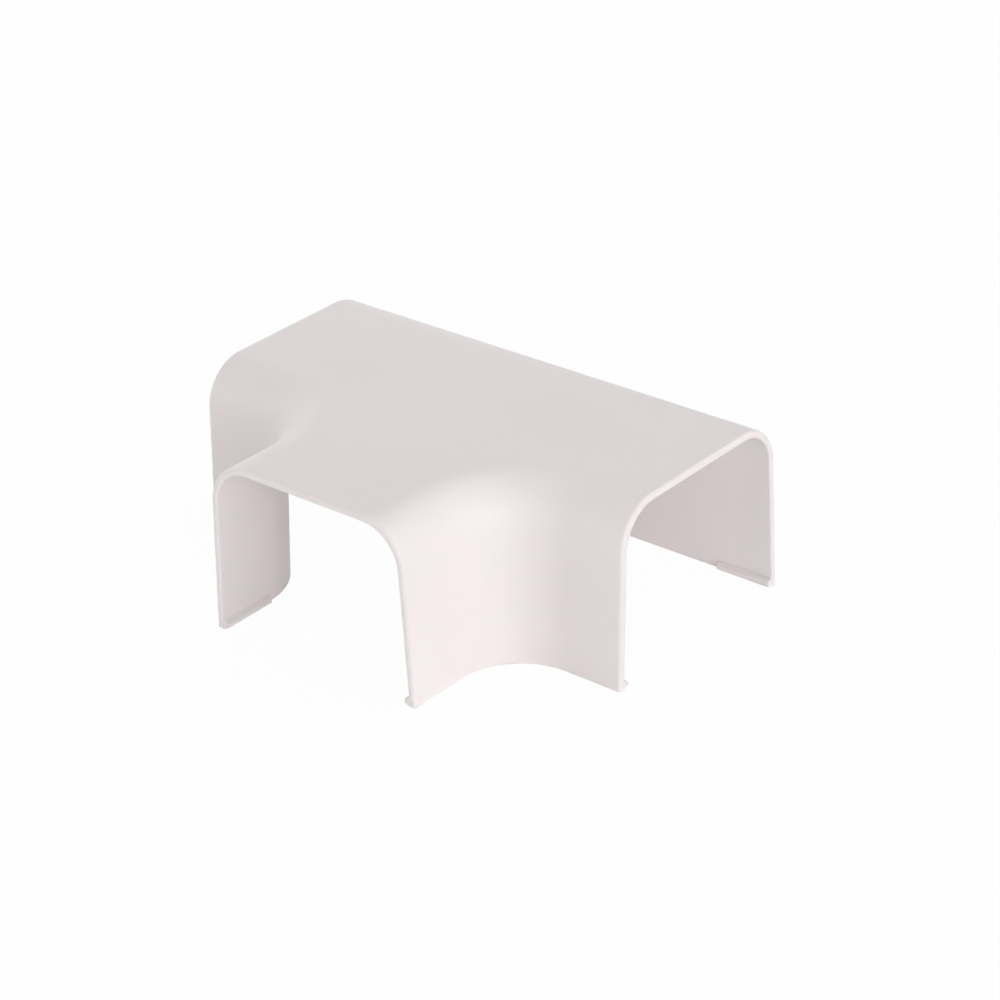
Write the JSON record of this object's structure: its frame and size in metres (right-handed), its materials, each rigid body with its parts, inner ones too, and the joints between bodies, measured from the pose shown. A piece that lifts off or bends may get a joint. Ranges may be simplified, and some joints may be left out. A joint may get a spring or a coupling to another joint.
{
  "type": "trunking tee fitting",
  "caption": "One-piece moulded tee cover for surface trunking: drafted thin walls, rounded top edges swept round the inner corners, open foot, inward catch lips.",
  "frame": {"origin": "crossing of the run's and the branch's centre lines, on the foot plane that meets the mounting surface", "axes": "+X along the run, -Y out of the branch's open end, +Y to the plain back wall, +Z away from the mounting surface"},
  "size_m": [0.134, 0.0995, 0.048],
  "materials": {
    "moulding": "satin, as moulded"
  },
  "bodies": {
    "root": {"tee_cover": "moulding"}
  },
  "joints": []
}
